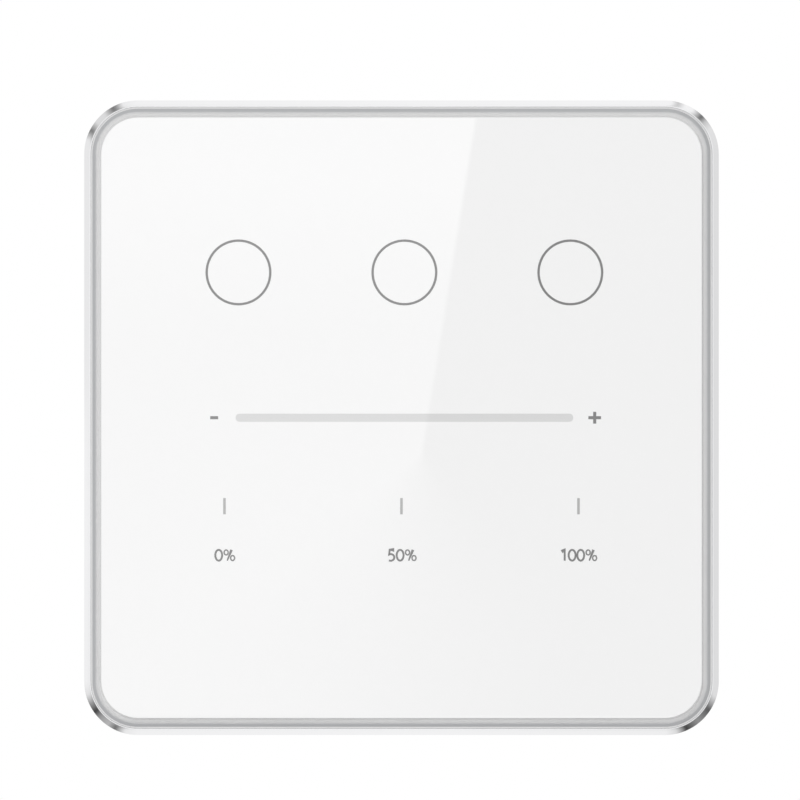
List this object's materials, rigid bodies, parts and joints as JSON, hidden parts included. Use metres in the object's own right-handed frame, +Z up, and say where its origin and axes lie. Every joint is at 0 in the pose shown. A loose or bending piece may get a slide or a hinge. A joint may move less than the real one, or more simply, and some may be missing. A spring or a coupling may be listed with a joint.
{
  "type": "smart dimmer switch",
  "caption": "Square glass touch dimmer for a wall box: ring keys and a slider on the glass, plug-in front panel, screw terminals behind.",
  "frame": {"origin": "centre of the wall plane, midway between the two box-screw slots, on the back of the mounting yoke", "axes": "+X to the right seen from the room, +Y into the wall, +Z up"},
  "size_m": [0.086, 0.039, 0.086],
  "materials": {
    "tempered_glass": "polished",
    "white_print": "gloss",
    "grey_print": "matt",
    "pale_print": "matt",
    "bright_bezel": "polished",
    "adhesive": "matt",
    "white_moulding": "fine gloss",
    "clear_guide": "clear",
    "conductive_foam": "matt",
    "sensor_film": "gloss",
    "circuit_board": "satin",
    "lamp_white": "gloss",
    "black_moulding": "matt",
    "tinned_steel": "satin",
    "gilt_pins": "bright",
    "grey_cover": "matt",
    "plated_screws": "bright",
    "galvanised_steel": "spangled",
    "base_moulding": "matt",
    "housing_moulding": "matt",
    "block_moulding": "matt",
    "contact_metal": "bright",
    "plated_cages": "bright",
    "plated_terminal_screws": "bright",
    "aluminium_plate": "mill finish",
    "ferrite": "matt",
    "wound_tape": "gloss",
    "capacitor_sleeve": "gloss",
    "enamelled_coil": "gloss",
    "fuse_tube": "gloss",
    "varistor_coat": "gloss"
  },
  "bodies": {
    "root": {"mounting_yoke": "galvanised_steel", "base_frame": "base_moulding", "base_screws": "plated_screws", "rear_housing": "housing_moulding", "power_board": "circuit_board", "header_socket": "black_moulding", "heat_sink_plate": "aluminium_plate", "transistor_1": "black_moulding", "transistor_2": "black_moulding", "transistor_screws": "plated_screws", "transformer_core": "ferrite", "transformer_winding": "wound_tape", "bulk_capacitor": "capacitor_sleeve", "choke_coil": "enamelled_coil", "fuse": "fuse_tube", "varistor": "varistor_coat", "terminal_block": "block_moulding", "contact_bar_1": "contact_metal", "contact_bar_2": "contact_metal", "contact_bar_3": "contact_metal", "contact_bar_4": "contact_metal", "contact_bar_5": "contact_metal"},
    "front_panel": {"glass_panel": "tempered_glass", "back_print": "white_print", "ring_marks": "grey_print", "slider_mark": "pale_print", "sign_marks": "grey_print", "tick_marks": "grey_print", "bezel_frame": "bright_bezel", "adhesive_sheet": "adhesive", "panel_carrier": "white_moulding", "ring_light_guide_1": "clear_guide", "ring_light_guide_2": "clear_guide", "ring_light_guide_3": "clear_guide", "slider_light_guide": "clear_guide", "touch_pad_1": "conductive_foam", "touch_pad_2": "conductive_foam", "touch_pad_3": "conductive_foam", "slider_sensor_film": "sensor_film", "touch_board": "circuit_board", "indicator_leds": "lamp_white", "touch_chip": "black_moulding", "radio_board": "circuit_board", "radio_shield": "tinned_steel", "board_header": "black_moulding", "header_pins": "gilt_pins", "panel_back_cover": "grey_cover", "panel_screws": "plated_screws"},
    "terminal_screw_1": {"terminal_screw_1": "plated_terminal_screws"},
    "clamp_cage_1": {"clamp_cage_1": "plated_cages"},
    "terminal_screw_2": {"terminal_screw_2": "plated_terminal_screws"},
    "clamp_cage_2": {"clamp_cage_2": "plated_cages"},
    "terminal_screw_3": {"terminal_screw_3": "plated_terminal_screws"},
    "clamp_cage_3": {"clamp_cage_3": "plated_cages"},
    "terminal_screw_4": {"terminal_screw_4": "plated_terminal_screws"},
    "clamp_cage_4": {"clamp_cage_4": "plated_cages"},
    "terminal_screw_5": {"terminal_screw_5": "plated_terminal_screws"},
    "clamp_cage_5": {"clamp_cage_5": "plated_cages"}
  },
  "joints": [
    {"name": "front_panel_pull", "type": "slide", "parent": "root", "child": "front_panel", "axis": [0, -1, 0], "range_m": [0, 0.025]},
    {"name": "screw_turn_1", "type": "hinge", "parent": "root", "child": "terminal_screw_1", "pos_m": [-0.0164, 0.0246, -0.0196], "axis": [0, -1, 0], "range_deg": [0, 2880]},
    {"name": "cage_rise_1", "type": "slide", "parent": "root", "child": "clamp_cage_1", "axis": [0, 1, 0], "range_m": [0, 0.004]},
    {"name": "screw_turn_2", "type": "hinge", "parent": "root", "child": "terminal_screw_2", "pos_m": [-0.0082, 0.0246, -0.0196], "axis": [0, -1, 0], "range_deg": [0, 2880]},
    {"name": "cage_rise_2", "type": "slide", "parent": "root", "child": "clamp_cage_2", "axis": [0, 1, 0], "range_m": [0, 0.004]},
    {"name": "screw_turn_3", "type": "hinge", "parent": "root", "child": "terminal_screw_3", "pos_m": [0, 0.0246, -0.0196], "axis": [0, -1, 0], "range_deg": [0, 2880]},
    {"name": "cage_rise_3", "type": "slide", "parent": "root", "child": "clamp_cage_3", "axis": [0, 1, 0], "range_m": [0, 0.004]},
    {"name": "screw_turn_4", "type": "hinge", "parent": "root", "child": "terminal_screw_4", "pos_m": [0.0082, 0.0246, -0.0196], "axis": [0, -1, 0], "range_deg": [0, 2880]},
    {"name": "cage_rise_4", "type": "slide", "parent": "root", "child": "clamp_cage_4", "axis": [0, 1, 0], "range_m": [0, 0.004]},
    {"name": "screw_turn_5", "type": "hinge", "parent": "root", "child": "terminal_screw_5", "pos_m": [0.0164, 0.0246, -0.0196], "axis": [0, -1, 0], "range_deg": [0, 2880]},
    {"name": "cage_rise_5", "type": "slide", "parent": "root", "child": "clamp_cage_5", "axis": [0, 1, 0], "range_m": [0, 0.004]}
  ],
  "couplings": [
    {"joint": "screw_turn_1", "follows": "cage_rise_1", "rad_per_m": 12566},
    {"joint": "screw_turn_2", "follows": "cage_rise_2", "rad_per_m": 12566},
    {"joint": "screw_turn_3", "follows": "cage_rise_3", "rad_per_m": 12566},
    {"joint": "screw_turn_4", "follows": "cage_rise_4", "rad_per_m": 12566},
    {"joint": "screw_turn_5", "follows": "cage_rise_5", "rad_per_m": 12566}
  ]
}
